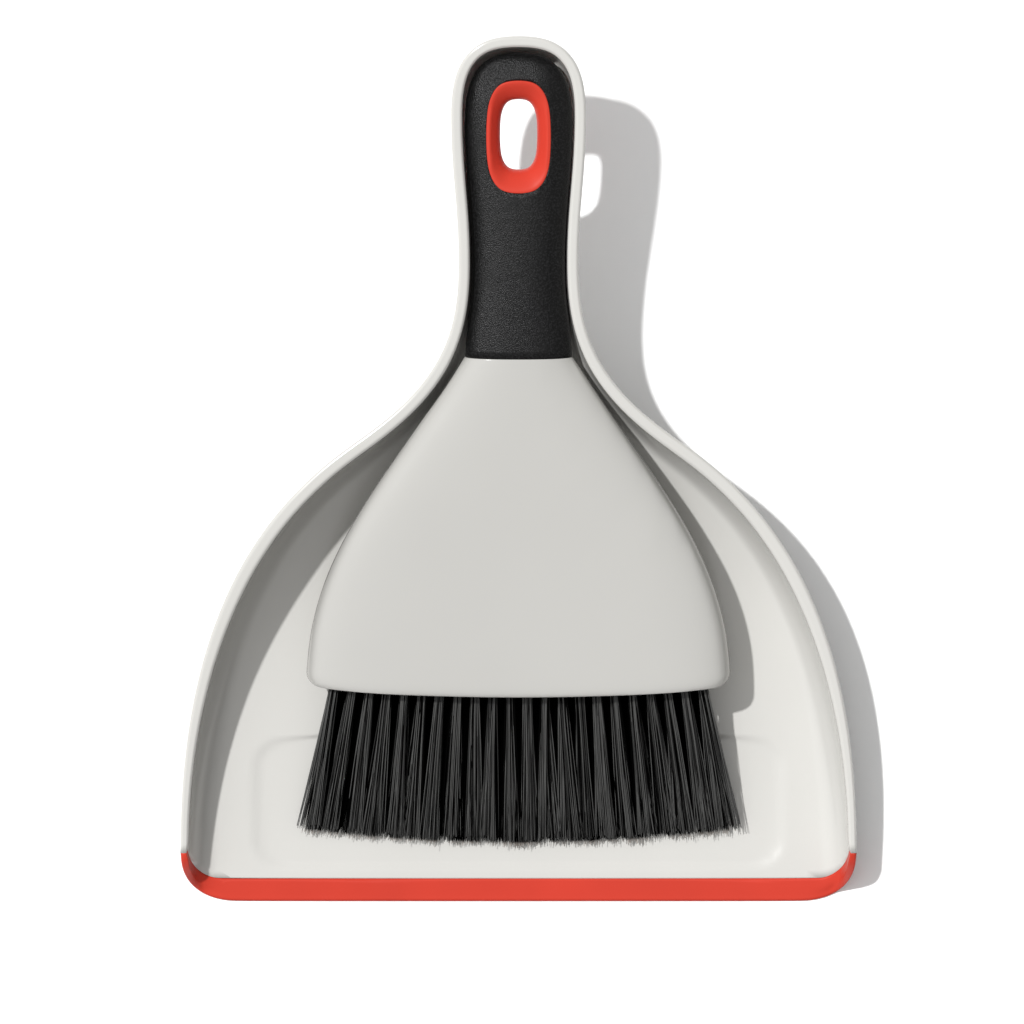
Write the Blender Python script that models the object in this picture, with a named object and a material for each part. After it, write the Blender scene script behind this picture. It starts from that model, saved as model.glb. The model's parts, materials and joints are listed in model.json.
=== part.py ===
"""Dust pan with a hand brush nested in it.

Metres, +Z up. The pan stands on Z = 0 with its mouth towards -Y and its handle towards +Y, and is
symmetric about X = 0. The rim lies in one plane that rises towards the handle. The brush is modelled
flat in its own frame and then tilted, so that its middle plane runs parallel to the pan's rim.
"""

import math

import bmesh
import bpy
from mathutils import Vector

# Pan, seen from above
PAN_LENGTH = 0.330
PAN_WIDTH = 0.2582
HANDLE_WIDTH = 0.0516
NECK_WIDTH = 0.0454
HANDLE_END_LENGTH = 0.032
NECK_FROM_END = 0.0852
CORNER_DEPTH = 0.020
CORNER_RUN = 0.024
END_ROUNDNESS = 2.8
CORNER_ROUNDNESS = 2.5
TURN_ACROSS_SHARE = 0.363
TURN_ALONG_SHARE = 0.307
TURN_ANGLE = math.radians(56.7)

# Pulls of the flare's curves, as shares of its length from neck to mouth
NECK_PULL_SHARE = 0.092
TURN_TO_NECK_PULL_SHARE = 0.207
TURN_TO_MOUTH_PULL_SHARE = 0.2585
MOUTH_PULL_SHARE = 0.3145

# Pan, heights and walls
RIM_TILT = math.radians(8.4)
RIM_HEIGHT_AT_MOUTH = 0.0219
PAN_WALL = 0.0025
RIM_WIDTH_HANDLE = 0.0042
RIM_WIDTH_SHOULDER = 0.0056
RIM_WIDTH_MOUTH = 0.0030
RIM_FLANGE = 0.0030
RIM_EDGE = 0.0007
WALL_RUN_HANDLE = 0.0060
WALL_RUN_MOUTH = 0.0130
WALL_ROUNDNESS = 2.6
RAMP_FROM_MOUTH = 0.085
RAMP_FROM_NECK = 0.027
FLOOR_SHARES = (0.93, 0.72, 0.48, 0.24, 0.0)
WALL_STEPS = 10

# Lip along the mouth
LIP_DEPTH = 0.0087
LIP_EDGE_HEIGHT = 0.0012
LIP_TIP_STEP = 0.0015
LIP_GAP = 0.0007
LIP_SETTLES_AT = 0.62

# Hanging hole
HOLE_FROM_END = 0.0369
RING_WIDTH = 0.0240
RING_LENGTH = 0.0427
HOLE_WIDTH = 0.0137
HOLE_LENGTH = 0.0267
PAN_HOLE_MARGIN_ACROSS = 0.0118
PAN_HOLE_MARGIN_ALONG = 0.0093
HOLE_ROUNDNESS = 2.9
RING_PROUD = 0.0002
RING_LAND = 0.0012

# Brush
BRUSH_DEPTH = 0.0115
GRIP_SIDE_CLEARANCE = 0.0004
GRIP_END_CLEARANCE = 0.0017
GRIP_UNDER_CLEARANCE = 0.0012
GRIP_LENGTH_SHARE = 0.3535
GRIP_HALF_HEIGHT = 0.0080
GRIP_RISE = 0.0037
GRIP_WALL = 0.0030
GRIP_FOOT_WIDTH = 0.0412
GRIP_END_ROUND_SHARE = 0.9
GRIP_END_FULLNESS = 2.8
SECTION_ROUNDNESS = 2.3
CORE_TANG = 0.040
CORE_TANG_STEP = 0.0012
COVER_LENGTH_SHARE = 0.3962
COVER_WIDTH_SHARE = 0.6274
COVER_HALF_HEIGHT = 0.0120
COVER_SETTLES_AT = 0.8
COVER_SIDE_CLEARANCE = 0.0025
COVER_WALL = 0.0022
COVER_CORNER = 0.0045
COVER_BOW = 0.0034
COVER_EDGE_ROUND = 0.0016
COVER_ROUNDNESS = 4.5
COVER_NECK_PULL_SHARE = 0.401
COVER_FOOT_PULL_SHARE = 0.355
COVER_NECK_ANGLE = math.radians(32)

# Bristles
TUFT_COUNT = 22
TUFT_WIDTH = 0.0040
TUFT_SIDE_MARGIN = 0.00237
TUFT_TIP_HEIGHT = 0.0084
TUFT_TIP_DROP = 0.0033
TUFT_DEPTH_IN_BLOCK = 0.012
BLOCK_DEPTH = 0.018
BLOCK_WALL = 0.0034
BRISTLE_LENGTH_SHARE = 0.177
BRISTLE_SPLAY = 0.13
BRISTLE_END_BOW = 0.0048

# Fits
TOUCH_GAP = 0.0003
SLIP_GAP = 0.0004

# Places that follow from the sizes above
END_Y = PAN_LENGTH / 2
FRONT_Y = -PAN_LENGTH / 2
CAP_Y = END_Y - HANDLE_END_LENGTH
NECK_Y = END_Y - NECK_FROM_END
MOUTH_Y = FRONT_Y + CORNER_DEPTH
HOLE_Y = END_Y - HOLE_FROM_END
SEAM_Y = FRONT_Y + LIP_DEPTH
RIM_SLOPE = math.tan(RIM_TILT)
FLARE_LENGTH = NECK_Y - MOUTH_Y
GRIP_LENGTH = PAN_LENGTH * GRIP_LENGTH_SHARE
COVER_LENGTH = PAN_LENGTH * COVER_LENGTH_SHARE
COVER_WIDTH = PAN_WIDTH * COVER_WIDTH_SHARE
BRISTLE_LENGTH = PAN_LENGTH * BRISTLE_LENGTH_SHARE
GRIP_DEPTH = BRUSH_DEPTH - GRIP_RISE
CHANNEL_DEPTH = GRIP_DEPTH + GRIP_HALF_HEIGHT + GRIP_UNDER_CLEARANCE
PAN_HOLE_WIDTH = HOLE_WIDTH + PAN_HOLE_MARGIN_ACROSS
PAN_HOLE_LENGTH = HOLE_LENGTH + PAN_HOLE_MARGIN_ALONG
TUFT_SPAN = COVER_WIDTH - 2 * (COVER_CORNER + COVER_WALL + TUFT_SIDE_MARGIN) - TUFT_WIDTH
TUFT_PITCH = TUFT_SPAN / (TUFT_COUNT - 1)
TUFT_HEIGHT = 2 * (COVER_HALF_HEIGHT - COVER_WALL - SLIP_GAP - BLOCK_WALL)


def clear_scene():
    for thing in list(bpy.data.objects):
        bpy.data.objects.remove(thing, do_unlink=True)


def mix(low, high, share):
    return low + (high - low) * share


def ease(share):
    share = min(max(share, 0.0), 1.0)
    return share * share * (3 - 2 * share)


def rounded(share, roundness):
    """The two legs of a rounded quarter turn: the first falls from 1 to 0 while the second rises."""
    angle = share * math.pi / 2
    power = 2 / roundness
    return max(math.cos(angle), 0.0) ** power, math.sin(angle) ** power


def bezier(points, share):
    start, first, second, end = (Vector(point) for point in points)
    rest = 1 - share
    return start * rest**3 + first * 3 * rest**2 * share + second * 3 * rest * share**2 + end * share**3


def evenly(curve, count):
    """Shares along the curve that cut it into count steps of about the same length."""
    fine = 240
    points = [curve(index / fine) for index in range(fine + 1)]
    travelled = [0.0]
    for before, after in zip(points, points[1:]):
        travelled.append(travelled[-1] + (after - before).length)
    shares = []
    for step in range(count + 1):
        target = travelled[-1] * step / count
        index = min(sum(1 for length in travelled if length < target), fine)
        shares.append(index / fine)
    return shares


def across_at(curve, y):
    """Distance from the middle to a curve that runs down towards -Y, where it passes this place."""
    low, high = 0.0, 1.0
    for _ in range(30):
        share = (low + high) / 2
        if curve(share).y > y:
            low = share
        else:
            high = share
    return curve(low).x


def material(name, colour, roughness, metallic=0.0):
    made = bpy.data.materials.new(name)
    made.use_nodes = True
    shader = made.node_tree.nodes["Principled BSDF"]
    shader.inputs["Base Color"].default_value = (*colour, 1.0)
    shader.inputs["Roughness"].default_value = roughness
    shader.inputs["Metallic"].default_value = metallic
    made.diffuse_color = (*colour, 1.0)
    return made


def finish_mesh(name, mesh_builder, look, parent=None):
    """Closes the mesh up, points its faces outwards and puts it in the scene."""
    bmesh.ops.remove_doubles(mesh_builder, verts=mesh_builder.verts, dist=1e-6)
    bmesh.ops.dissolve_degenerate(mesh_builder, dist=1e-6, edges=mesh_builder.edges)
    bmesh.ops.recalc_face_normals(mesh_builder, faces=mesh_builder.faces)
    mesh = bpy.data.meshes.new(name)
    mesh_builder.to_mesh(mesh)
    mesh_builder.free()
    mesh.shade_smooth()
    mesh.set_sharp_from_angle(angle=math.radians(40))
    made = bpy.data.objects.new(name, mesh)
    bpy.context.scene.collection.objects.link(made)
    made.parent = parent
    if look:
        mesh.materials.append(look)
    return made


def sheet(rows, cap_start=True, cap_end=True):
    """A thick sheet. Each row holds its upper points and the lower points that face them."""
    builder = bmesh.new()
    rings = [[builder.verts.new(point) for point in (*upper, *reversed(lower))] for upper, lower in rows]
    count = len(rings[0])
    for ring, following in zip(rings, rings[1:]):
        for index in range(count):
            after = (index + 1) % count
            builder.faces.new((ring[index], ring[after], following[after], following[index]))
    for ring, wanted in ((rings[0], cap_start), (rings[-1], cap_end)):
        if wanted:
            for index in range(count // 2 - 1):
                far = count - 1 - index
                builder.faces.new((ring[index], ring[index + 1], ring[far - 1], ring[far]))
    return builder


def cut(target, cutter):
    """Takes the cutter's shape out of the target for good."""
    modifier = target.modifiers.new("cut_" + cutter.name, "BOOLEAN")
    modifier.operation = "DIFFERENCE"
    modifier.solver = "EXACT"
    modifier.object = cutter
    cutter.hide_render = True
    cutter.display_type = "WIRE"


# Pan


def handle_end_curve(share):
    across, along = rounded(1 - share, END_ROUNDNESS)
    return Vector((HANDLE_WIDTH / 2 * across, CAP_Y + HANDLE_END_LENGTH * along))


def handle_side_curve(share):
    pull = (CAP_Y - NECK_Y) * 0.4
    top, foot = (HANDLE_WIDTH / 2, CAP_Y), (NECK_WIDTH / 2, NECK_Y)
    return bezier((top, (top[0], CAP_Y - pull), (foot[0], NECK_Y + pull), foot), share)


def flare_curve(share):
    """Two curves that meet, running the same way, where the outline turns from hollow to full."""
    neck, mouth = Vector((NECK_WIDTH / 2, NECK_Y)), Vector((PAN_WIDTH / 2, MOUTH_Y))
    turn_x = mix(neck.x, mouth.x, TURN_ACROSS_SHARE)
    turn = Vector((turn_x, NECK_Y - FLARE_LENGTH * TURN_ALONG_SHARE))
    lean = Vector((math.sin(TURN_ANGLE), -math.cos(TURN_ANGLE))) * FLARE_LENGTH
    if share < 0.5:
        below_neck = neck - Vector((0, FLARE_LENGTH * NECK_PULL_SHARE))
        return bezier((neck, below_neck, turn - lean * TURN_TO_NECK_PULL_SHARE, turn), share * 2)
    above_mouth = mouth + Vector((0, FLARE_LENGTH * MOUTH_PULL_SHARE))
    return bezier((turn, turn + lean * TURN_TO_MOUTH_PULL_SHARE, above_mouth, mouth), share * 2 - 1)


def corner_curve(share):
    across, along = rounded(share, CORNER_ROUNDNESS)
    return Vector((PAN_WIDTH / 2 - CORNER_RUN * (1 - across), MOUTH_Y - CORNER_DEPTH * along))


def inward(curve, share):
    """Unit vector across the outline, towards the inside of the pan."""
    step = 0.004
    along = curve(min(share + step, 1.0)) - curve(max(share - step, 0.0))
    if along.length < 1e-9:
        return Vector((0.0, -1.0))
    along.normalize()
    return Vector((along.y, -along.x))


def rim_height(y):
    return RIM_HEIGHT_AT_MOUTH + RIM_SLOPE * (y - MOUTH_Y)


def floor_height(y):
    """Upper face of the floor: flat behind the mouth, then a ramp into the handle's channel."""
    start, end = MOUTH_Y + RAMP_FROM_MOUTH, NECK_Y - RAMP_FROM_NECK
    share = ease((y - start) / (end - start))
    return mix(PAN_WALL, rim_height(y) - CHANNEL_DEPTH, share)


def shoulder_share(y):
    """1 in the middle of the flare, 0 at the neck and at the mouth."""
    share = (NECK_Y - y) / (NECK_Y - MOUTH_Y)
    return math.sin(math.pi * min(max(share, 0.0), 1.0)) ** 2


def rim_width(y):
    share = ease((NECK_Y - y) / (NECK_Y - MOUTH_Y))
    plain = mix(RIM_WIDTH_HANDLE, RIM_WIDTH_MOUTH, share)
    return mix(plain, RIM_WIDTH_SHOULDER, shoulder_share(y) * 0.8)


def wall_run(y):
    share = ease((NECK_Y - y) / (NECK_Y - MOUTH_Y))
    return mix(WALL_RUN_HANDLE, WALL_RUN_MOUTH, share)


def pan_half_row(edge, across, sweep=0.0, tip_step=0.0):
    """Upper and lower points from the rim's outer edge, down the wall and along the floor to X = 0.

    sweep carries the foot of the wall towards the mouth, and tip_step does the same for the rim.
    """
    width, run = rim_width(edge.y), wall_run(edge.y)
    foot = edge + across * (width + run) - Vector((0, sweep))
    floor = floor_height(foot.y)
    step = Vector((0, tip_step))
    upper, lower = [], []

    def place(points, plan, z):
        points.append(Vector((max(plan.x, 0.0), plan.y, z)))

    for distance, drop in ((0.0, RIM_EDGE), (RIM_EDGE, 0.0), (width - RIM_EDGE, 0.0)):
        plan = edge + across * distance - step
        place(upper, plan, rim_height(plan.y) - drop)
    under = width - PAN_WALL
    for distance in (0.0, under * 0.5, under):
        plan = edge + across * distance
        place(lower, plan, rim_height(plan.y) - RIM_FLANGE)

    for index in range(WALL_STEPS + 1):
        level, fall = rounded(index / WALL_STEPS, WALL_ROUNDNESS)
        inset = 1 - level
        drift = Vector((0, sweep * math.sqrt(inset * (2 - inset))))
        inner = edge + across * (width + run * inset) - drift
        outer = edge + across * (width - PAN_WALL + (run + PAN_WALL) * inset) - drift
        rim = rim_height(inner.y)
        place(upper, inner, mix(rim - RIM_EDGE, floor, fall))
        place(lower, outer, min(mix(rim, floor - PAN_WALL, fall), rim - RIM_FLANGE - RIM_EDGE))

    for share in FLOOR_SHARES:
        place(upper, Vector((foot.x * share, foot.y)), floor)
        place(lower, Vector((foot.x * share, foot.y)), floor - PAN_WALL)
    return upper, lower


def mirrored(points):
    """The half row, then its mirror image, which shares the point on X = 0."""
    return points + [Vector((-point.x, point.y, point.z)) for point in reversed(points[:-1])]


def pan_half_rows():
    """Half rows from the end of the handle to the seam with the lip."""
    rows = []
    for curve, count in ((handle_end_curve, 6), (handle_side_curve, 4), (flare_curve, 20)):
        shares = evenly(curve, count)
        for share in shares if curve is handle_end_curve else shares[1:]:
            edge = curve(share)
            across = Vector((0.0, -1.0)) if edge.x < 1e-6 else inward(curve, share)
            near_mouth = ease(1 - (edge.y - MOUTH_Y) / RAMP_FROM_MOUTH)
            last = edge.y < MOUTH_Y + 1e-6
            sweep = (MOUTH_Y - SEAM_Y) * near_mouth
            rows.append(pan_half_row(edge, across, sweep, LIP_TIP_STEP if last else 0.0))
    return rows


def pan_shell(look):
    rows = [(mirrored(upper), mirrored(lower)) for upper, lower in pan_half_rows()]
    shell = finish_mesh("pan_shell", sheet(rows, cap_start=False), look)
    hole = hole_prism("pan_hole_cutter", PAN_HOLE_WIDTH, PAN_HOLE_LENGTH, END_Y)
    hole.location = (0.0, HOLE_Y, 0.0)
    cut(shell, hole)


def lip_row(upper, lower, edge, across, turned):
    """One slice of the lip from the seam out to the mouth's edge; turned runs 0 at the rim to 1."""
    height = mix(rim_height(MOUTH_Y), LIP_EDGE_HEIGHT, ease(turned / LIP_SETTLES_AT))
    bead = mix(rim_width(MOUTH_Y), RIM_WIDTH_MOUTH * 0.5, turned)
    inner, outer = edge + across * bead, edge + across * RIM_EDGE
    middle = upper.xy.lerp(inner, 0.6)
    rise = mix(0.35, 0.6, turned)
    under = lower.xy.lerp(edge, 0.6)
    bottom = max(height - RIM_FLANGE, 0.0)
    top_points = [
        upper,
        Vector((*middle, mix(upper.z, height, rise))),
        Vector((*inner, height)),
        Vector((*outer, height)),
        Vector((*edge, max(height - RIM_EDGE, bottom + TOUCH_GAP))),
    ]
    middle_below = Vector((*under, mix(lower.z, bottom, 0.6)))
    outer_below = Vector((*outer, bottom))
    between = middle_below.lerp(outer_below, 0.5)
    return top_points, [lower, middle_below, between, outer_below, Vector((*edge, bottom))]


def pan_lip(look):
    """The lip starts where the shell stops: its inner points carry the shell's surface on by a gap."""
    before, seam = pan_half_rows()[-2:]

    def past_seam(side, index):
        ahead = seam[side][index] - before[side][index]
        moved = seam[side][index] + ahead.normalized() * LIP_GAP
        moved.z = seam[side][index].z if side == 0 else max(seam[side][index].z, 0.0)
        return moved

    wall_top = 3
    corner_steps = WALL_STEPS + 1
    rim = [past_seam(0, index) for index in range(wall_top)]
    flange = [past_seam(1, index) for index in range(wall_top)]
    start_upper, start_lower = past_seam(0, wall_top), past_seam(1, wall_top)
    rows = [
        (
            [start_upper, start_upper.lerp(rim[2], 0.5), *rim[::-1]],
            [start_lower, start_lower.lerp(flange[2], 0.5), *flange[::-1]],
        )
    ]
    for index in range(wall_top + 1, len(seam[0])):
        steps = index - wall_top
        upper, lower = past_seam(0, index), past_seam(1, index)
        share = min(steps / corner_steps, 1.0)
        edge = corner_curve(share)
        across = inward(corner_curve, share)
        if steps > corner_steps:
            edge = Vector((upper.x, FRONT_Y))
            across = Vector((0.0, 1.0))
        rows.append(lip_row(upper, lower, edge, across, share))
    other_side = [tuple([Vector((-p.x, p.y, p.z)) for p in points] for points in row) for row in rows[:-1]]
    finish_mesh("pan_lip", sheet(rows + other_side[::-1]), look)


def hole_outline(width, length, steps=24):
    """Rounded oval about the origin, as plan points."""
    points = []
    for step in range(steps):
        angle = 2 * math.pi * step / steps
        power = 2 / HOLE_ROUNDNESS
        across = math.copysign(abs(math.cos(angle)) ** power, math.cos(angle))
        along = math.copysign(abs(math.sin(angle)) ** power, math.sin(angle))
        points.append(Vector((width / 2 * across, length / 2 * along)))
    return points


def hole_prism(name, width, length, height, parent=None):
    """Upright prism of the hole's outline, half of it above and half below the origin."""
    builder = bmesh.new()
    base = [builder.verts.new((*point, -height)) for point in hole_outline(width, length)]
    face = builder.faces.new(base)
    grown = bmesh.ops.extrude_face_region(builder, geom=[face])["geom"]
    corners = [item for item in grown if isinstance(item, bmesh.types.BMVert)]
    bmesh.ops.translate(builder, verts=corners, vec=(0.0, 0.0, 2 * height))
    return finish_mesh(name, builder, None, parent)


# Brush, flat in its own frame: +Y to the end of the grip, Z = 0 is its middle plane

BRUSH_ORIGIN_Z = rim_height(0.0) - BRUSH_DEPTH / math.cos(RIM_TILT)
GRIP_END = (END_Y - RIM_WIDTH_HANDLE - GRIP_END_CLEARANCE) / math.cos(RIM_TILT)
GRIP_FOOT = GRIP_END - GRIP_LENGTH
COVER_TOP = GRIP_FOOT - TOUCH_GAP
COVER_FOOT = COVER_TOP - COVER_LENGTH
HOLE_Y_BRUSH = HOLE_Y / math.cos(RIM_TILT)


def brush_frame():
    frame = bpy.data.objects.new("brush_frame", None)
    bpy.context.scene.collection.objects.link(frame)
    frame.location = (0.0, 0.0, BRUSH_ORIGIN_Z)
    frame.rotation_euler = (RIM_TILT, 0.0, 0.0)
    return frame


def channel_half_width(y):
    """Half the clear width of the pan's channel, half way down its walls, at a place on the brush."""
    plan_y = min(y * math.cos(RIM_TILT), CAP_Y)
    outline = across_at(handle_side_curve if plan_y > NECK_Y else flare_curve, plan_y)
    level = (1 - (GRIP_DEPTH / CHANNEL_DEPTH) ** WALL_ROUNDNESS) ** (1 / WALL_ROUNDNESS)
    return outline - rim_width(plan_y) - wall_run(plan_y) * (1 - level)


def grip_half_width(y):
    neck = NECK_Y / math.cos(RIM_TILT)
    room = channel_half_width(y) - GRIP_SIDE_CLEARANCE
    if y > neck:
        return room
    narrowest = channel_half_width(neck) - GRIP_SIDE_CLEARANCE
    return min(room, mix(narrowest, GRIP_FOOT_WIDTH / 2, ease((neck - y) / (neck - GRIP_FOOT))))


def oval(half_width, half_height, roundness, y, steps=24):
    """Closed section across the grip."""
    points = []
    power = 2 / roundness
    for step in range(steps):
        angle = 2 * math.pi * (step + 0.5) / steps
        across = math.copysign(abs(math.cos(angle)) ** power, math.cos(angle))
        up = math.copysign(abs(math.sin(angle)) ** power, math.sin(angle))
        points.append(Vector((half_width * across, y, GRIP_RISE + half_height * up)))
    return points


def grip_sections(inset, top, foot, tang_step=0.0, steps=24):
    """Sections from the rounded top end down to the foot, all drawn in by the inset.

    The tang that goes on past the grip's foot is narrower by the tang step.
    """
    end_length = HANDLE_END_LENGTH * GRIP_END_ROUND_SHARE
    sections = []
    for share in (0.0, 0.12, 0.28, 0.46, 0.66, 0.84, 1.0):
        grown, left = rounded(1 - share, END_ROUNDNESS)
        y = top - end_length + end_length * left
        half = (grip_half_width(y) - inset) * grown
        height = (GRIP_HALF_HEIGHT - inset) * rounded(1 - share, GRIP_END_FULLNESS)[0]
        sections.append(oval(half, height, SECTION_ROUNDNESS, y, steps))
    start, count = top - end_length, 8
    places = [mix(start, GRIP_FOOT, index / count) for index in range(1, count + 1)]
    if foot < GRIP_FOOT:
        places.append(foot)
    for y in places:
        half = grip_half_width(max(y, GRIP_FOOT)) - inset
        if y < GRIP_FOOT + TOUCH_GAP:
            half -= tang_step
        sections.append(oval(half, GRIP_HALF_HEIGHT - inset, SECTION_ROUNDNESS, y, steps))
    return sections


def solid_from(sections):
    half = len(sections[0]) // 2
    return sheet([(section[:half], section[half:][::-1]) for section in sections], cap_start=False)


def handle_grip(frame, look):
    grip = finish_mesh("handle_grip", solid_from(grip_sections(0.0, GRIP_END, GRIP_FOOT)), look, frame)
    inset = GRIP_WALL - SLIP_GAP
    sections = grip_sections(inset, GRIP_END - inset, GRIP_FOOT - GRIP_WALL)
    cavity = finish_mesh("core_cavity_cutter", solid_from(sections), None, frame)
    cut(grip, cavity)
    hole = ring_cutter("grip_hole_cutter", frame)
    cut(grip, hole)


def handle_core(frame, look):
    sections = grip_sections(GRIP_WALL, GRIP_END - GRIP_WALL, GRIP_FOOT - CORE_TANG, CORE_TANG_STEP)
    core = finish_mesh("handle_core", solid_from(sections), look, frame)
    cut(core, ring_cutter("core_hole_cutter", frame))


def ring_cutter(name, frame):
    width, length = RING_WIDTH + 2 * TOUCH_GAP, RING_LENGTH + 2 * TOUCH_GAP
    prism = hole_prism(name, width, length, GRIP_HALF_HEIGHT * 2, frame)
    prism.location = (0.0, HOLE_Y_BRUSH, 0.0)
    return prism


def grip_surface(x, y):
    """Height of the grip's skin above the grip's own middle plane."""
    share = min(abs(x) / grip_half_width(y), 1.0)
    return GRIP_HALF_HEIGHT * (1 - share**SECTION_ROUNDNESS) ** (1 / SECTION_ROUNDNESS)


def hang_ring(frame, look):
    """Liner of the hanging hole: it narrows from both faces of the grip to the middle."""
    outer = hole_outline(RING_WIDTH, RING_LENGTH)
    mouth = hole_outline(RING_WIDTH - 2 * RING_LAND, RING_LENGTH - 2 * RING_LAND)
    middle = hole_outline(mix(RING_WIDTH, HOLE_WIDTH, 0.8), mix(RING_LENGTH, HOLE_LENGTH, 0.8))
    throat = hole_outline(HOLE_WIDTH, HOLE_LENGTH)
    rows = []
    for edge, land, slope, waist in zip(outer, mouth, middle, throat):
        skin = grip_surface(edge.x, HOLE_Y_BRUSH + edge.y)
        profile = ((edge, skin), (land, skin + RING_PROUD), (slope, skin * 0.6), (waist, skin * 0.25))
        upper = [Vector((point.x, HOLE_Y_BRUSH + point.y, GRIP_RISE + z)) for point, z in profile]
        rows.append((upper, [Vector((point.x, point.y, 2 * GRIP_RISE - point.z)) for point in upper]))
    rows.append(rows[0])
    finish_mesh("hang_ring", sheet(rows, cap_start=False, cap_end=False), look, frame)


def cover_curve(share):
    top = Vector((GRIP_FOOT_WIDTH / 2, COVER_TOP))
    foot = Vector((COVER_WIDTH / 2, COVER_FOOT + COVER_CORNER))
    lean = Vector((math.sin(COVER_NECK_ANGLE), -math.cos(COVER_NECK_ANGLE)))
    below_top = top + lean * COVER_LENGTH * COVER_NECK_PULL_SHARE
    above_foot = foot + Vector((0, COVER_LENGTH * COVER_FOOT_PULL_SHARE))
    return bezier((top, below_top, above_foot, foot), share)


def cover_stations():
    """From the neck to the foot: half width, place, seam height, half height, roundness, edge rounding."""
    stations = []
    for share in evenly(cover_curve, 9):
        point = cover_curve(share)
        roundness = mix(SECTION_ROUNDNESS, COVER_ROUNDNESS, ease(share * 1.6))
        settled = ease(share / COVER_SETTLES_AT)
        seam = mix(GRIP_RISE, 0.0, settled)
        height = mix(GRIP_HALF_HEIGHT, COVER_HALF_HEIGHT, settled)
        half = min(point.x, channel_half_width(point.y) - COVER_SIDE_CLEARANCE)
        stations.append((half, point.y, seam, height, roundness, 0.0))
    for share in (0.4, 0.75, 1.0):
        across, along = rounded(share, 2.0)
        half = COVER_WIDTH / 2 - COVER_CORNER * (1 - across)
        y = COVER_FOOT + COVER_CORNER * (1 - along)
        edge = COVER_EDGE_ROUND * share**3
        stations.append((half, y, 0.0, COVER_HALF_HEIGHT, COVER_ROUNDNESS, edge))
    return stations


def bowed(y, share_across, amount):
    """Places near the foot bend back towards the handle away from the middle."""
    return y + amount * share_across**2


def cover_arch(half, height, roundness, y, bow, side, seam=0.0, steps=12):
    """Half section from the right edge over the crown to the left edge, starting at the seam."""
    points = []
    for step in range(steps + 1):
        angle = math.pi * step / steps
        across = math.copysign(abs(math.cos(angle)) ** (2 / roundness), math.cos(angle))
        up = math.sin(angle) ** (2 / roundness)
        place = bowed(y, across, bow)
        points.append(Vector((half * across, place, seam + side * max(height * up, TOUCH_GAP / 2))))
    return points


def brush_cover(name, side, frame, look):
    rows = []
    for half, y, seam, height, roundness, edge in cover_stations():
        bow = COVER_BOW * ease((COVER_TOP - y) / COVER_LENGTH)
        outer = cover_arch(half, height - edge, roundness, y, bow, side, seam)
        inner = cover_arch(half - COVER_WALL, height - COVER_WALL, roundness, y, bow, side, seam)
        rows.append((outer, inner))
    finish_mesh(name, sheet(rows), look, frame)


def tuft_places():
    middle = (TUFT_COUNT - 1) / 2
    return [(index - middle) * TUFT_PITCH for index in range(TUFT_COUNT)]


BLOCK_FOOT = COVER_FOOT + COVER_EDGE_ROUND
BLOCK_TOP = BLOCK_FOOT + BLOCK_DEPTH


def slot_section(x, y, width, height, drop=0.0):
    """Eight-sided section of a tuft or of its pocket."""
    corner = width * 0.3
    side, crown = width / 2, height / 2
    upper = ((-side, crown - corner), (-side + corner, crown), (side - corner, crown), (side, crown - corner))
    points = [*upper, *((across, -up) for across, up in reversed(upper))]
    return [Vector((x + across, y, up - drop)) for across, up in points]


def slot_solid(sections):
    half = len(sections[0]) // 2
    return sheet([(section[:half], section[half:][::-1]) for section in sections])


def bow_at(x):
    return COVER_BOW * (2 * x / COVER_WIDTH) ** 2


def bristle_block(frame, look):
    """Bar that fills the mouth of the two covers; each column of tufts stands in its own pocket."""
    gap = COVER_WALL + SLIP_GAP
    rows = []
    for share in (0.0, 0.5, 1.0):
        y = mix(BLOCK_TOP, BLOCK_FOOT, share)
        half = min(across_at(cover_curve, y), COVER_WIDTH / 2 - COVER_CORNER + COVER_EDGE_ROUND) - gap
        upper = cover_arch(half, COVER_HALF_HEIGHT - gap, COVER_ROUNDNESS, y, COVER_BOW, 1)
        lower = cover_arch(half, COVER_HALF_HEIGHT - gap, COVER_ROUNDNESS, y, COVER_BOW, -1)
        rows.append((upper, lower))
    block = finish_mesh("bristle_block", sheet(rows), look, frame)
    width, height = TUFT_WIDTH + 2 * TOUCH_GAP, TUFT_HEIGHT + 2 * TOUCH_GAP
    pockets = bmesh.new()
    for x in tuft_places():
        bottom = BLOCK_FOOT + bow_at(x) + TUFT_DEPTH_IN_BLOCK
        below = BLOCK_FOOT - TUFT_DEPTH_IN_BLOCK
        pocket = slot_solid([slot_section(x, y, width, height) for y in (bottom, below)])
        bmesh.ops.recalc_face_normals(pocket, faces=pocket.faces)
        mesh = bpy.data.meshes.new("pocket")
        pocket.to_mesh(mesh)
        pocket.free()
        pockets.from_mesh(mesh)
        bpy.data.meshes.remove(mesh)
    cut(block, finish_mesh("pocket_cutter", pockets, None, frame))


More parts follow.
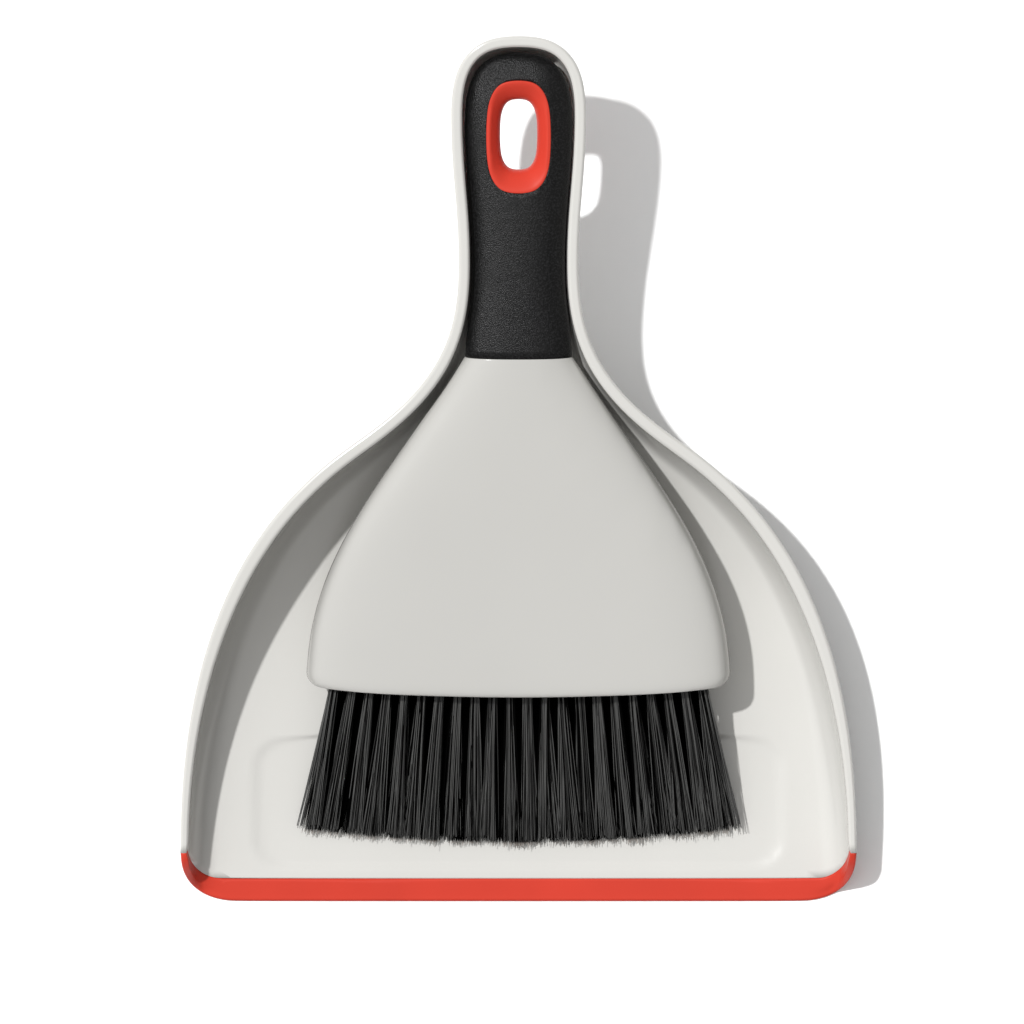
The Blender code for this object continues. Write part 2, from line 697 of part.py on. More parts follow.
def bristle_tufts(frame, look):
    """One solid for each column of filaments, fanned out and drooping from the pockets to the tips."""
    widest = tuft_places()[-1]
    bend = 0.45
    bend_height = mix(TUFT_HEIGHT, TUFT_TIP_HEIGHT, bend)
    for number, x in enumerate(tuft_places(), start=1):
        face = BLOCK_FOOT + bow_at(x)
        root = face + TUFT_DEPTH_IN_BLOCK - TOUCH_GAP
        tip = BLOCK_FOOT - BRISTLE_LENGTH + BRISTLE_END_BOW * (x / widest) ** 2
        tip_x = x * (1 + BRISTLE_SPLAY)
        tip_width = TUFT_PITCH * (1 + BRISTLE_SPLAY) - TOUCH_GAP
        clear = face - TUFT_WIDTH * 0.4
        bend_x, bend_y = mix(x, tip_x, bend), mix(clear, tip, bend)
        bend_width = TUFT_PITCH - 2 * TOUCH_GAP
        sections = [
            slot_section(x, root, TUFT_WIDTH, TUFT_HEIGHT),
            slot_section(x, clear, TUFT_WIDTH, TUFT_HEIGHT),
            slot_section(bend_x, bend_y, bend_width, bend_height, TUFT_TIP_DROP * bend**2),
            slot_section(tip_x, tip, tip_width, TUFT_TIP_HEIGHT, TUFT_TIP_DROP),
        ]
        finish_mesh(f"bristle_tuft_{number:02d}", slot_solid(sections), look, frame)


def main():
    clear_scene()
    shell = material("pan_plastic", (0.66, 0.65, 0.62), 0.25)
    cover = material("cover_plastic", (0.62, 0.61, 0.58), 0.25)
    rubber = material("lip_rubber", (0.68, 0.06, 0.03), 0.45)
    liner = material("ring_rubber", (0.70, 0.06, 0.03), 0.5)
    soft = material("grip_rubber", (0.012, 0.012, 0.013), 0.55)
    inner = material("core_plastic", (0.015, 0.015, 0.015), 0.5)
    bar = material("block_plastic", (0.010, 0.010, 0.010), 0.6)
    filament = material("filament", (0.008, 0.008, 0.008), 0.4)
    pan_shell(shell)
    pan_lip(rubber)
    frame = brush_frame()
    brush_cover("brush_front_cover", 1, frame, cover)
    brush_cover("brush_back_cover", -1, frame, cover)
    handle_core(frame, inner)
    handle_grip(frame, soft)
    hang_ring(frame, liner)
    bristle_block(frame, bar)
    bristle_tufts(frame, filament)


main()
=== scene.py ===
"""Dust pan and nested hand brush: the finished look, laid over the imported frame."""

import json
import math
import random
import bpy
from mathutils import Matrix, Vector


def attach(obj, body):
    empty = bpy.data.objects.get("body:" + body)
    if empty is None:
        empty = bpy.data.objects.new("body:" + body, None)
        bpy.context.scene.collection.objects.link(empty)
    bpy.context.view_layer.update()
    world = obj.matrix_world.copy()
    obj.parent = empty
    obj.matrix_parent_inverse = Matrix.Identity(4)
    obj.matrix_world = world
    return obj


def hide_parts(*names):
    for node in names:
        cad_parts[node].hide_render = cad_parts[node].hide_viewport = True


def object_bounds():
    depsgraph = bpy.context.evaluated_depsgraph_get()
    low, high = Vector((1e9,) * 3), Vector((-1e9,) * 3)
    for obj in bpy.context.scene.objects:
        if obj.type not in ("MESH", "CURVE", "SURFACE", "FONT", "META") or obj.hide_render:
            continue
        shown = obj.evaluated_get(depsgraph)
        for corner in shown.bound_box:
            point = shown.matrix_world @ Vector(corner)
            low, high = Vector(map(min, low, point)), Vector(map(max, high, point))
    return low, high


bl_info = {
    "name": "Dust Pan and Brush Finish",
    "version": (1, 0, 0),
    "blender": (4, 5, 0),
    "location": "View3D > Sidebar > Dust Pan",
    "description": "Finishes the moulded pan, its rubber lip, and the brush with its filaments",
    "category": "Object",
}

import bmesh
import bpy
from bpy.props import FloatProperty, FloatVectorProperty, IntProperty, PointerProperty
from mathutils import Matrix, Vector
from mathutils.bvhtree import BVHTree

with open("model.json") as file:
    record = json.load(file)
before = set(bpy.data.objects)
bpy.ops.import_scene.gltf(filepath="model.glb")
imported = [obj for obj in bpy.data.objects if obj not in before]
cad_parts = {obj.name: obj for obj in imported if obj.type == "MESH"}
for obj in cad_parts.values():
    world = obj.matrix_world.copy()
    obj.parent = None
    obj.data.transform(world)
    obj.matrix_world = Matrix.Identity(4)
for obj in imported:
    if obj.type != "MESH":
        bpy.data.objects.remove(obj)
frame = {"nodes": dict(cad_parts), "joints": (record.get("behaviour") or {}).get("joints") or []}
CAD_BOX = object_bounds()
NODES = frame["nodes"]
LIFT = Vector(frame["joints"][0]["axis"])
TILT = math.atan2(-LIFT.y, LIFT.z)
TUFTS = sorted(name for name in NODES if name.startswith("bristle_tuft_"))
ALONG_BRUSH = Vector((0.0, LIFT.z, -LIFT.y))
SEAM_REACH = 0.0011
SEAM_GAP = 0.00004
MERGE_DISTANCE = 0.00002
LIGHT_TRAVEL = (0.460, -0.354, -1.0)
AIM_ASIDE = -0.0025
AIM_FORWARD = -0.0163
RECESS_SOFT_EDGE = 0.0045
RECESS_CRISP_EDGE = 0.0007
FLOOR_LEVEL_REACH = 0.0006
BLOCK_SET_BACK = 0.0112
SIDE_STRAYS = 9
# Filament looks, each a tone and a gloss. The first is painted sheen: lighter, glossier strands that stand
# in for light on the top tufts. The second is the filaments' own black. The third is painted shade on each
# tuft's outer strands. The fourth is painted shade on the lower rows, where the upper tufts would shade
# them.
FILAMENT_LOOKS = (("light", 2.1, 0.24), ("black", 0.7, 0.12), ("dark", 0.03, 0.02), ("under_shade", 0.02, 0.0))
PAINTED_SHEEN, BLACK, EDGE_SHADE, UNDER_SHADE = range(4)


# Shared tools


def ease(share):
    """Rises from 0 to 1 with a level start and a level end."""
    share = min(max(share, 0.0), 1.0)
    return share * share * (3 - 2 * share)


def tinted(colour, factor):
    """The colour made lighter or darker by a factor, with full alpha."""
    return (*[min(channel * factor, 1.0) for channel in colour[:3]], 1.0)


def grey_level(value):
    return (value, value, value, 1.0)


def linked(name, data):
    """A new object in the scene for a mesh, curve, lamp or camera."""
    made = bpy.data.objects.new(name, data)
    bpy.context.scene.collection.objects.link(made)
    return made


def baked_mesh(made):
    """The object's shape as a mesh, with its modifiers or its curve's thickness applied."""
    return bpy.data.meshes.new_from_object(made.evaluated_get(bpy.context.evaluated_depsgraph_get()))


def refined(name, node, levels=2, crease_angle=50.0, against=None, loops=()):
    """A smooth copy of a node: its loose triangles are joined into quads again and subdivided.

    Edges that turn more than the crease angle stay crisp. Corners that lie within a seam's gap of the
    node named in against are brought up to it, as the two are moulded on to one another. Loops are
    distances along the tilted brush at which an extra row of corners holds the shape.
    """
    mesh = NODES[node].data.copy()
    mesh.materials.clear()
    piece = linked(name, mesh)
    builder = bmesh.new()
    builder.from_mesh(mesh)
    bmesh.ops.remove_doubles(builder, verts=builder.verts, dist=MERGE_DISTANCE)
    bmesh.ops.join_triangles(
        builder,
        faces=builder.faces,
        angle_face_threshold=math.radians(40),
        angle_shape_threshold=math.radians(60),
    )
    if against:
        beside = bmesh.new()
        beside.from_mesh(NODES[against].data)
        neighbour = BVHTree.FromBMesh(beside)
        beside.free()
        for vertex in builder.verts:
            place, normal, _, distance = neighbour.find_nearest(vertex.co)
            if distance < SEAM_REACH:
                vertex.co = place + normal * SEAM_GAP
    for distance in loops:
        bmesh.ops.bisect_plane(
            builder,
            geom=[*builder.verts, *builder.edges, *builder.faces],
            dist=MERGE_DISTANCE / 2,
            plane_co=ALONG_BRUSH * distance,
            plane_no=ALONG_BRUSH,
        )
    crease = builder.edges.layers.float.new("crease_edge")
    for edge in builder.edges:
        if edge.is_manifold and edge.calc_face_angle() > math.radians(crease_angle):
            edge[crease] = 1.0
    for face in builder.faces:
        face.smooth = True
    builder.to_mesh(mesh)
    builder.free()
    smooth = piece.modifiers.new("Smooth", "SUBSURF")
    smooth.levels = levels
    smooth.render_levels = levels
    return piece


def finish_piece(piece, body, look, slot, *nodes):
    """Gives the piece its material, parents it to the body it rides on and hides the nodes it stands for.
    """
    piece.data.materials.clear()
    piece.data.materials.append(look)
    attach(piece, body)
    if nodes:
        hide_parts(*nodes)


class Nodes:
    """Shorthand for building a material's node tree."""

    def __init__(self, name):
        self.material = bpy.data.materials.new(name)
        self.material.use_nodes = True
        self.tree = self.material.node_tree
        self.shader = self.tree.nodes["Principled BSDF"]
        coordinates = self.tree.nodes.new("ShaderNodeTexCoord")
        self.place = coordinates.outputs["Object"]

    def add(self, kind, **inputs):
        node = self.tree.nodes.new(kind)
        for key, value in inputs.items():
            socket = node.inputs[key.replace("_", " ")]
            if isinstance(value, bpy.types.NodeSocket):
                self.tree.links.new(value, socket)
            else:
                socket.default_value = value
        return node

    def link(self, output, socket):
        self.tree.links.new(output, self.shader.inputs[socket])

    def set(self, **inputs):
        for key, value in inputs.items():
            self.shader.inputs[key.replace("_", " ")].default_value = value

    def noise(self, scale, detail=2.0, place=None):
        return self.add("ShaderNodeTexNoise", Vector=place or self.place, Scale=scale, Detail=detail)

    def ramp(self, factor, low, high, start, end):
        ramp = self.add("ShaderNodeValToRGB", Fac=factor)
        ramp.color_ramp.elements[0].position = start
        ramp.color_ramp.elements[1].position = end
        ramp.color_ramp.elements[0].color = low
        ramp.color_ramp.elements[1].color = high
        return ramp.outputs["Color"]

    def varied(self, socket, factor, low, high, start, end):
        """Drives one of the shader's sockets by a factor, between two colours or grey levels."""
        self.link(self.ramp(factor, low, high, start, end), socket)

    def bump(self, height, strength, distance, normal=None):
        bump = self.add("ShaderNodeBump", Height=height, Strength=strength, Distance=distance)
        if normal:
            self.tree.links.new(normal, bump.inputs["Normal"])
        return bump.outputs["Normal"]


# Materials


def moulded_plastic(name, colour, roughness):
    """Glossy moulded plastic: a faint flow in its colour, uneven gloss and a very soft ripple."""
    made = Nodes(name)
    cloud = made.noise(9.0, 3.0).outputs["Fac"]
    made.varied("Base Color", cloud, tinted(colour, 0.975), tinted(colour, 1.02), 0.3, 0.7)
    smear = made.noise(60.0, 4.0).outputs["Fac"]
    made.varied("Roughness", smear, grey_level(roughness * 0.85), grey_level(roughness * 1.2), 0.35, 0.7)
    ripple = made.noise(35.0, 1.0)
    fine = made.noise(2200.0, 2.0)
    wide = made.bump(ripple.outputs["Fac"], 0.06, 0.002)
    made.link(made.bump(fine.outputs["Fac"], 0.04, 0.0001, wide), "Normal")
    made.set(IOR=1.49, Coat_Weight=0.25, Coat_Roughness=0.06)
    return made.material


def moulded_rubber(name, colour, roughness):
    """Satin rubber with a fine matt grain."""
    made = Nodes(name)
    cloud = made.noise(25.0, 3.0).outputs["Fac"]
    made.varied("Base Color", cloud, tinted(colour, 0.95), tinted(colour, 1.05), 0.3, 0.7)
    smear = made.noise(140.0, 3.0).outputs["Fac"]
    made.varied("Roughness", smear, grey_level(roughness * 0.9), grey_level(roughness * 1.12), 0.35, 0.65)
    grain = made.noise(3200.0, 2.0)
    made.link(made.bump(grain.outputs["Fac"], 0.15, 0.0001), "Normal")
    made.set(IOR=1.5, Specular_IOR_Level=0.12)
    return made.material


def soft_touch(name, colour, roughness):
    """Soft-touch rubber: a fine pebbled grain that catches light as tiny specks."""
    made = Nodes(name)
    pebbles = made.add("ShaderNodeTexVoronoi", Vector=made.place, Scale=2600.0)
    patches = made.noise(45.0, 3.0).outputs["Fac"]
    made.varied("Roughness", patches, grey_level(roughness * 0.88), grey_level(roughness * 1.1), 0.35, 0.65)
    speckle = made.noise(1500.0, 1.0).outputs["Fac"]
    made.varied("Base Color", speckle, tinted(colour, 0.3), tinted(colour, 2.4), 0.46, 0.66)
    made.link(made.bump(pebbles.outputs["Distance"], 0.7, 0.0002), "Normal")
    made.set(Sheen_Weight=0.03, Sheen_Roughness=0.4, Sheen_Tint=grey_level(0.8), Specular_IOR_Level=0.24)
    return made.material


def filament_look(name, colour, gloss, tip_colour, tip_line, bow):
    """Drawn filament, one colour along its length and frayed pale past the tip line.

    The tip line is a place along the tilted brush, and bow says how it curves away from the middle.
    """
    made = Nodes(name)
    axes = made.add("ShaderNodeSeparateXYZ", Vector=made.place)

    def worked(operation, first, second):
        node = made.tree.nodes.new("ShaderNodeMath")
        node.operation = operation
        for socket, value in zip(node.inputs, (first, second)):
            if isinstance(value, bpy.types.NodeSocket):
                made.tree.links.new(value, socket)
            else:
                socket.default_value = value
        return node.outputs[0]

    level_part = worked("MULTIPLY", axes.outputs["Y"], math.cos(TILT))
    along = worked("ADD", level_part, worked("MULTIPLY", axes.outputs["Z"], math.sin(TILT)))
    bowed = worked("MULTIPLY", worked("MULTIPLY", axes.outputs["X"], axes.outputs["X"]), bow)
    past = worked("SUBTRACT", worked("ADD", bowed, tip_line), along)
    fray = made.add("ShaderNodeMapRange", Value=past, From_Min=0.0009, From_Max=0.0020)
    pale = fray.outputs["Result"]
    made.varied("Base Color", pale, tinted(colour, 1.0), tinted(tip_colour, 1.0), 0.0, 1.0)
    made.set(Roughness=0.42, IOR=1.5, Specular_IOR_Level=gloss)
    return made.material


# Settings


class DustPanSettings(bpy.types.PropertyGroup):
    """Colours and sizes of the moulded parts."""

    plastic: FloatVectorProperty(
        name="Plastic", description="Colour of the pan and the brush head",
        subtype="COLOR", size=3, min=0, max=1, default=(0.525, 0.517, 0.492),
    )
    red: FloatVectorProperty(
        name="Rubber", description="Colour of the lip and of the hanging ring",
        subtype="COLOR", size=3, min=0, max=1, default=(0.515, 0.0425, 0.025),
    )
    grip: FloatVectorProperty(
        name="Grip", description="Colour of the soft sleeve",
        subtype="COLOR", size=3, min=0, max=1, default=(0.005, 0.005, 0.0052),
    )
    ring_fill_across: FloatProperty(
        name="Ring Fill Across", description="Growth that closes the fitting gap beside the ring",
        default=1.032, min=1, max=1.05,
    )
    ring_fill_along: FloatProperty(
        name="Ring Fill Along", description="Growth that closes the fitting gap at the ring's ends",
        default=1.020, min=1, max=1.05,
    )
    recess_width: FloatProperty(
        name="Recess Width", description="Width of the recess in the pan's floor",
        subtype="DISTANCE", unit="LENGTH", default=0.205, min=0.05, max=0.22,
    )
    recess_length: FloatProperty(
        name="Recess Length", description="Length of the recess from back to front",
        subtype="DISTANCE", unit="LENGTH", default=0.0526, min=0.03, max=0.055,
    )
    recess_from_front: FloatProperty(
        name="Recess From Front", description="Distance from the lip's edge to the recess",
        subtype="DISTANCE", unit="LENGTH", default=0.011, min=0.0095, max=0.03,
    )
    recess_corner: FloatProperty(
        name="Recess Corner", description="Radius of the recess's corners",
        subtype="DISTANCE", unit="LENGTH", default=0.013, min=0.002, max=0.02,
    )
    recess_depth: FloatProperty(
        name="Recess Depth", description="How far the recess is let down",
        subtype="DISTANCE", unit="LENGTH", default=0.0008, min=0.0001, max=0.001,
    )
    floor_height: FloatProperty(
        name="Floor Height", description="Height of the floor's upper face",
        subtype="DISTANCE", unit="LENGTH", default=0.0025, min=0.001, max=0.01,
    )


class BristleSettings(bpy.types.PropertyGroup):
    """Size, number and colour of the filaments."""

    colour: FloatVectorProperty(
        name="Filament", description="Colour of the filaments",
        subtype="COLOR", size=3, min=0, max=1, default=(0.036, 0.036, 0.035),
    )
    tip_colour: FloatVectorProperty(
        name="Frayed Tip", description="Colour of the split ends",
        subtype="COLOR", size=3, min=0, max=1, default=(0.34, 0.31, 0.285),
    )
    radius: FloatProperty(
        name="Filament Radius", description="Radius at the root",
        subtype="DISTANCE", unit="LENGTH", default=0.0002, min=0.00005, max=0.001,
    )
    rows: IntProperty(name="Rows", description="Tufts in each column", default=4, min=1, max=6)
    strands: IntProperty(name="Strands", description="Filaments in each tuft", default=62, min=3, max=200)


class StageSettings(bpy.types.PropertyGroup):
    """Camera, floor and light."""

    view_width: FloatProperty(
        name="View Width", description="Width of the view at the pan",
        subtype="DISTANCE", unit="LENGTH", default=0.3906, min=0.1, max=2,
    )
    distance: FloatProperty(
        name="Camera Height", description="Height of the camera above the floor",
        subtype="DISTANCE", unit="LENGTH", default=16.0, min=0.5, max=18,
    )
    sun: FloatProperty(name="Sun", description="Strength of the key light", default=3.2, min=0, max=20)
    sky: FloatProperty(
        name="Sky", description="Strength of the fill from overhead", default=0.88, min=0, max=5
    )
    horizon: FloatProperty(
        name="Horizon", description="Strength of the fill from the sides", default=0.05, min=0, max=5
    )
    side_light: FloatProperty(
        name="Side", description="Extra fill from the left", default=0.3, min=0, max=5
    )


# Operators


class PAN_OT_stage(bpy.types.Operator):
    """Sets up the floor, the lights and the camera that looks straight down"""

    bl_idname = "dustpan.stage"
    bl_label = "Stage"

    def execute(self, context):
        settings = context.scene.pan_stage
        context.scene.view_settings.view_transform = "Standard"
        self.floor()
        self.light(settings)
        self.camera(settings)
        return {"FINISHED"}

    def floor(self):
        builder = bmesh.new()
        bmesh.ops.create_grid(builder, x_segments=1, y_segments=1, size=6.0)
        bmesh.ops.translate(builder, verts=builder.verts, vec=(0, 0, -0.0002))
        mesh = bpy.data.meshes.new("floor")
        builder.to_mesh(mesh)
        builder.free()
        ground = linked("floor", mesh)
        made = Nodes("floor_paper")
        made.set(Base_Color=grey_level(0.93), Roughness=0.9, Specular_IOR_Level=0.1)
        mesh.materials.append(made.material)

    def light(self, settings):
        lamp = bpy.data.lights.new("key", "SUN")
        lamp.energy = settings.sun
        lamp.angle = math.radians(2.0)
        key = linked("key", lamp)
        key.rotation_mode = "QUATERNION"
        key.rotation_quaternion = Vector(LIGHT_TRAVEL).to_track_quat("-Z", "Y")
        world = bpy.data.worlds.new("studio")
        world.use_nodes = True
        make, join = world.node_tree.nodes.new, world.node_tree.links.new
        background = world.node_tree.nodes["Background"]
        background.inputs["Color"].default_value = grey_level(1.0)
        direction = make("ShaderNodeTexCoord")
        axes = make("ShaderNodeSeparateXYZ")
        rise = make("ShaderNodeMapRange")
        rise.inputs["To Min"].default_value = settings.horizon
        rise.inputs["To Max"].default_value = settings.sky
        lean, total, positive = (make("ShaderNodeMath") for _ in range(3))
        for node, operation in ((lean, "MULTIPLY"), (total, "ADD"), (positive, "MAXIMUM")):
            node.operation = operation
        lean.inputs[1].default_value = -settings.side_light
        positive.inputs[1].default_value = 0.0
        join(direction.outputs["Generated"], axes.inputs["Vector"])
        join(axes.outputs["Z"], rise.inputs["Value"])
        join(axes.outputs["X"], lean.inputs[0])
        join(rise.outputs["Result"], total.inputs[0])
        join(lean.outputs[0], total.inputs[1])
        join(total.outputs[0], positive.inputs[0])
        join(positive.outputs[0], background.inputs["Strength"])
        bpy.context.scene.world = world

    def camera(self, settings):
        low, high = CAD_BOX
        lens_data = bpy.data.cameras.new("camera")
        lens_data.sensor_width = 36.0
        subject = (low.z + high.z) * 0.45
        lens_data.lens = lens_data.sensor_width * (settings.distance - subject) / settings.view_width
        lens_data.clip_end = 2 * settings.distance
        camera = linked("camera", lens_data)
        middle = (low + high) / 2
        camera.location = (middle.x + AIM_ASIDE, middle.y + AIM_FORWARD, settings.distance)
        bpy.context.scene.camera = camera


class PAN_OT_pan(bpy.types.Operator):
    """Finishes the pan's shell and its lip"""

    bl_idname = "dustpan.pan"
    bl_label = "Pan"

    def execute(self, context):
        settings = context.scene.dust_pan
        shell = refined("pan_moulding", "pan_shell", crease_angle=35.0)
        gloss = moulded_plastic("pan_gloss", settings.plastic, 0.17)
        finish_piece(shell, "pan", gloss, "pan_plastic", "pan_shell")
        self.recess(shell, settings)
        lip = refined("pan_lip_moulding", "pan_lip", against="pan_shell")
        finish_piece(lip, "pan", moulded_rubber("lip_satin", settings.red, 0.4), "lip_rubber", "pan_lip")
        return {"FINISHED"}

    def recess(self, shell, settings):
        """The floor behind the lip is let down a little: soft sides, and a crisp edge at the back."""
        half_width, half_length = settings.recess_width / 2, settings.recess_length / 2
        radius = settings.recess_corner
        middle = CAD_BOX[0].y + settings.recess_from_front + half_length
        shell.data = baked_mesh(shell)
        shell.modifiers.clear()
        builder = bmesh.new()
        builder.from_mesh(shell.data)

        def on_floor(place):
            level = abs(place.z - settings.floor_height) < FLOOR_LEVEL_REACH
            across, along = abs(place.x) - half_width, abs(place.y - middle) - half_length
            return level and max(across, along) < 0.004

        near = [face for face in builder.faces if on_floor(face.calc_center_median())]
        edges = list({edge for face in near for edge in face.edges})
        bmesh.ops.subdivide_edges(builder, edges=edges, cuts=5, use_grid_fill=True)
        for vertex in builder.verts:
            if not on_floor(vertex.co):
                continue
            across = abs(vertex.co.x) - half_width + radius
            along = abs(vertex.co.y - middle) - half_length + radius
            outside = math.hypot(max(across, 0.0), max(along, 0.0)) + min(max(across, along), 0.0) - radius
            soft = RECESS_SOFT_EDGE
            if vertex.co.y > middle:
                crisp = 1 - ease((abs(vertex.co.x) - half_width * 0.68) / (half_width * 0.28))
                soft += (RECESS_CRISP_EDGE - soft) * crisp
            vertex.co.z -= settings.recess_depth * (1 - ease(outside / soft + 1))
        for face in builder.faces:
            face.smooth = True
        builder.to_mesh(shell.data)
        builder.free()


class PAN_OT_head(bpy.types.Operator):
    """Finishes the two covers of the brush head and the bar that holds the tufts"""

    bl_idname = "dustpan.head"
    bl_label = "Brush Head"

    def execute(self, context):
        settings = context.scene.dust_pan
        look = moulded_plastic("cover_gloss", tinted(settings.plastic, 0.83), 0.16)
        for side in ("front", "back"):
            node = f"brush_{side}_cover"
            ends = [ALONG_BRUSH.dot(vertex.co) for vertex in NODES[node].data.vertices]
            loops = (min(ends) + 0.0100, max(ends) - 0.0012)
            cover = refined(f"{side}_cover_moulding", node, loops=loops)
            finish_piece(cover, "brush", look, "cover_plastic", node)
        plain = {
            "bristle_block": moulded_plastic("block_black", tinted(settings.grip, 0.8), 0.6),
            "handle_core": moulded_plastic("core_dark", tinted(settings.grip, 3.0), 0.5),
        }
        for node, made in plain.items():
            NODES[node].data.materials.clear()
            NODES[node].data.materials.append(made)
        return {"FINISHED"}


class PAN_OT_handle(bpy.types.Operator):
    """Finishes the soft sleeve and the liner of the hanging hole"""

    bl_idname = "dustpan.handle"
    bl_label = "Handle"

    def execute(self, context):
        settings = context.scene.dust_pan
        sleeve = refined("grip_sleeve", "handle_grip")
        soft = soft_touch("grip_soft", settings.grip, 0.36)
        finish_piece(sleeve, "brush", soft, "grip_rubber", "handle_grip")
        ring = refined("hang_liner", "hang_ring")
        middle = sum((vertex.co.y for vertex in ring.data.vertices), 0.0) / len(ring.data.vertices)
        for vertex in ring.data.vertices:
            vertex.co.x *= settings.ring_fill_across
            vertex.co.y = middle + (vertex.co.y - middle) * settings.ring_fill_along
        satin = moulded_rubber("ring_satin", settings.red, 0.42)
        finish_piece(ring, "brush", satin, "ring_rubber", "hang_ring")
        return {"FINISHED"}


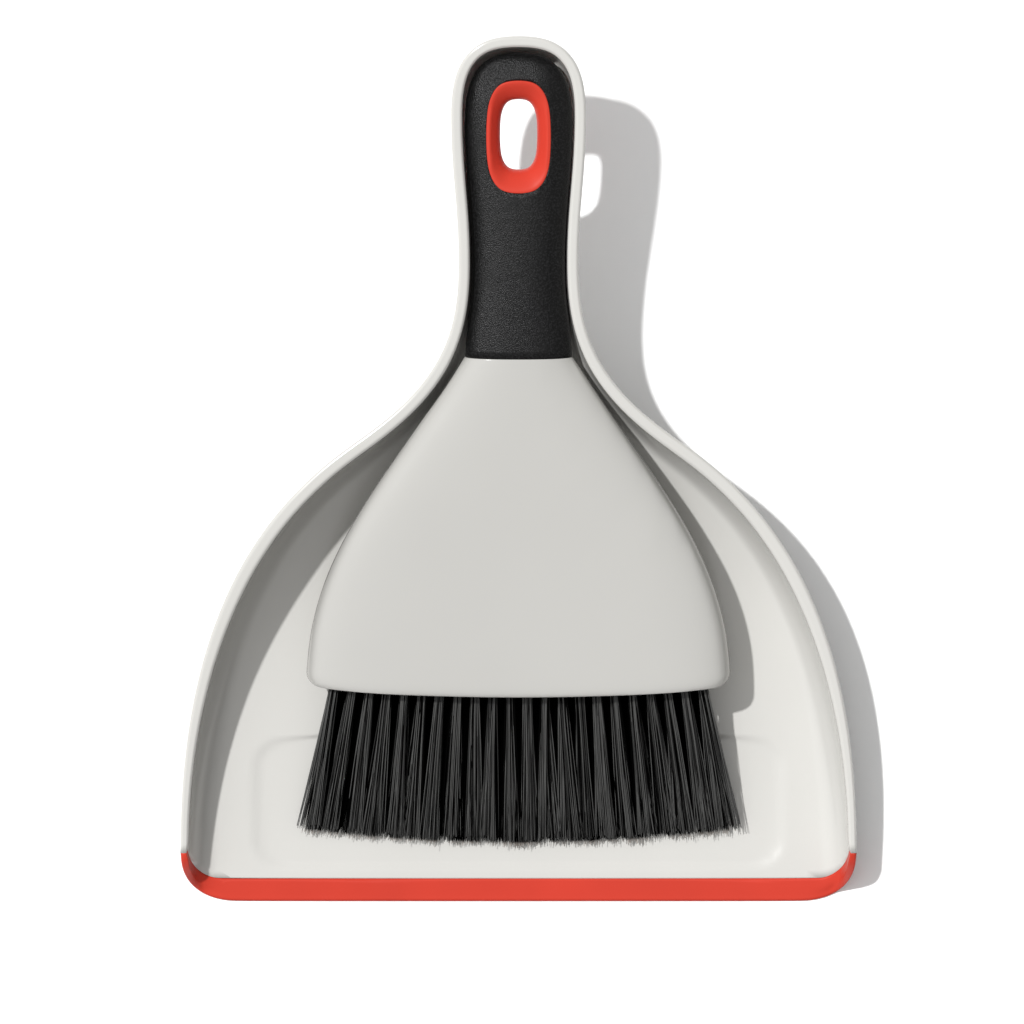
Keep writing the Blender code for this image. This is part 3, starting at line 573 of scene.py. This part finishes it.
class PAN_OT_bristles(bpy.types.Operator):
    """Replaces each column's solid by tufts of single filaments"""

    bl_idname = "dustpan.bristles"
    bl_label = "Bristles"

    def execute(self, context):
        settings = context.scene.pan_bristles
        ends = [self.ends(node) for node in TUFTS]
        tip_lines = [tip.y for _, _, tip, _ in ends]
        widest = ends[-1][2].x
        tip_line = min(tip_lines)
        bow = (tip_lines[-1] - tip_line) / widest**2
        # One material for each look. All but the black one are painted sheen or painted shade copies of the
        # filament colour.
        looks = [
            filament_look(
                f"filament_{name}", tinted(settings.colour, tone), gloss, settings.tip_colour, tip_line, bow
            )
            for name, tone, gloss in FILAMENT_LOOKS
        ]
        for number, node in enumerate(TUFTS):
            piece = self.column(node, ends[number], settings, looks, random.Random(100 + number))
            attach(piece, "brush")
            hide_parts(node)
        return {"FINISHED"}

    def ends(self, node):
        """Middle and half size of a node's root and of its tip, in the brush's own flat frame."""
        flat = Matrix.Rotation(-TILT, 3, "X")
        points = [flat @ vertex.co for vertex in NODES[node].data.vertices]
        top, tip = max(point.y for point in points), min(point.y for point in points)
        found = []
        for place in (top, tip):
            near = [point for point in points if abs(point.y - place) < 0.001]
            low = Vector([min(point[axis] for point in near) for axis in range(3)])
            high = Vector([max(point[axis] for point in near) for axis in range(3)])
            found += [(low + high) / 2, (high - low) / 2]
        return found

    def column(self, node, ends, settings, looks, chance):
        """Tufts of filaments, one under the other, from the block's face to the tips of one node."""
        root, root_half, end, end_half = ends
        face = root.y - BLOCK_SET_BACK
        pitch = root_half.x * 3.33
        inward = -math.copysign(pitch / 2, root.x)
        curve = bpy.data.curves.new(node.replace("tuft", "filaments"), "CURVE")
        curve.dimensions = "3D"
        curve.bevel_depth = settings.radius
        curve.bevel_resolution = 0
        curve.use_fill_caps = True
        for look in looks:
            curve.materials.append(look)
        tuft_half = Vector((root_half.x * 0.86, 0, root_half.z / settings.rows * 0.8))
        for row in range(settings.rows):
            level = 1 - (row + 0.5) / settings.rows * 2
            under = row >= settings.rows / 2
            shift = inward if under else 0.0
            root_spot = Vector((root.x + shift, face, root.z + level * root_half.z * 0.95))
            lean = chance.gauss(0, 0.0014)
            end_height = end.z + (level * 0.22 - 0.70) * end_half.z
            end_spot = Vector((end.x + shift * 1.1 + lean, end.y, end_height))
            cut_back = chance.gauss(0.0003, 0.0006)
            frayed = chance.uniform(0.05, 0.4)
            for _ in range(settings.strands):
                angle = chance.uniform(0, 2 * math.pi)
                spread = math.sqrt(chance.random())
                a, b = spread * math.cos(angle), spread * math.sin(angle)
                start = root_spot + Vector((a * tuft_half.x, 0, b * tuft_half.z))
                reach = chance.gauss(0, 0.0005) - cut_back
                if chance.random() < frayed:
                    reach += chance.uniform(0.0006, 0.0026)
                finish = end_spot + Vector((
                    a * end_half.x * 0.92 + chance.gauss(0, 0.0006),
                    -reach,
                    b * end_half.z * 0.25 + chance.gauss(0, 0.0003),
                ))
                finish.z = min(max(finish.z, end.z - end_half.z * 0.94), end.z + end_half.z)
                bend = Vector((chance.gauss(0, 0.00035), 0, chance.gauss(0, 0.00025)))
                # Lower rows take the painted under-row shade. A tuft's outer strands take painted edge
                # shade. The rest are painted sheen, the own black or edge shade at random.
                rim = abs(a) + chance.gauss(0, 0.16) > 0.88
                look = UNDER_SHADE if under else EDGE_SHADE if rim else chance.choice((PAINTED_SHEEN, PAINTED_SHEEN, BLACK, EDGE_SHADE))
                self.strand(curve, start, finish, bend, end_spot.x - root_spot.x, look)
        # The stray filaments at the outer columns all take the painted sheen look, standing in for the
        # light they catch.
        if node in (TUFTS[0], TUFTS[-1]):
            side = math.copysign(1, root.x)
            for _ in range(SIDE_STRAYS):
                height = root.z + chance.uniform(-0.5, 0.8) * root_half.z
                start = Vector((root.x + side * tuft_half.x, face, height))
                outward = side * (end_half.x + chance.uniform(-0.0002, 0.0026))
                finish = Vector((end.x + outward, end.y - chance.uniform(-0.0010, 0.0004), end.z))
                bend = Vector((side * chance.uniform(0, 0.0006), 0, 0))
                self.strand(curve, start, finish, bend, end.x - root.x, PAINTED_SHEEN)
        drawn = linked("drawn", curve)
        mesh = baked_mesh(drawn)
        mesh.name = curve.name
        bpy.data.objects.remove(drawn)
        return linked(mesh.name, mesh)

    def strand(self, curve, start, finish, bend, drift, look):
        """One filament. It follows its tuft's drift, spreads late and droops towards its tip."""
        steps = 5
        turn = Matrix.Rotation(TILT, 3, "X")
        spline = curve.splines.new("POLY")
        spline.points.add(steps)
        spline.material_index = look
        for step in range(steps + 1):
            share = step / steps
            place = start.lerp(finish, share) + bend * math.sin(math.pi * share)
            place.x += (finish.x - start.x - drift) * (share**1.5 - share)
            place.z += (finish.z - start.z) * (1 - (1 - share) ** 1.6 - share)
            spline.points[step].co = (*(turn @ place), 1.0)
            spline.points[step].radius = 1.0 - 0.5 * share**3


class PAN_PT_panel(bpy.types.Panel):
    """Lists the pieces of the dust pan and brush"""

    bl_label = "Dust Pan and Brush"
    bl_space_type = "VIEW_3D"
    bl_region_type = "UI"
    bl_category = "Dust Pan"

    def draw(self, context):
        layout = self.layout
        for group in ("dust_pan", "pan_bristles", "pan_stage"):
            settings = getattr(context.scene, group)
            box = layout.box()
            for key in settings.__annotations__:
                box.prop(settings, key)
        for operator in OPERATORS:
            layout.operator(operator.bl_idname)


OPERATORS = (PAN_OT_stage, PAN_OT_pan, PAN_OT_head, PAN_OT_handle, PAN_OT_bristles)
GROUPS = {"dust_pan": DustPanSettings, "pan_bristles": BristleSettings, "pan_stage": StageSettings}


def register():
    for group in (*GROUPS.values(), *OPERATORS, PAN_PT_panel):
        bpy.utils.register_class(group)
    for key, group in GROUPS.items():
        setattr(bpy.types.Scene, key, PointerProperty(type=group))


def unregister():
    for key in GROUPS:
        delattr(bpy.types.Scene, key)
    for group in (PAN_PT_panel, *reversed(OPERATORS), *reversed(GROUPS.values())):
        bpy.utils.unregister_class(group)


def main():
    register()
    bpy.ops.dustpan.stage()
    bpy.ops.dustpan.pan()
    bpy.ops.dustpan.head()
    bpy.ops.dustpan.handle()
    bpy.ops.dustpan.bristles()


if __name__ == "__main__":
    main()
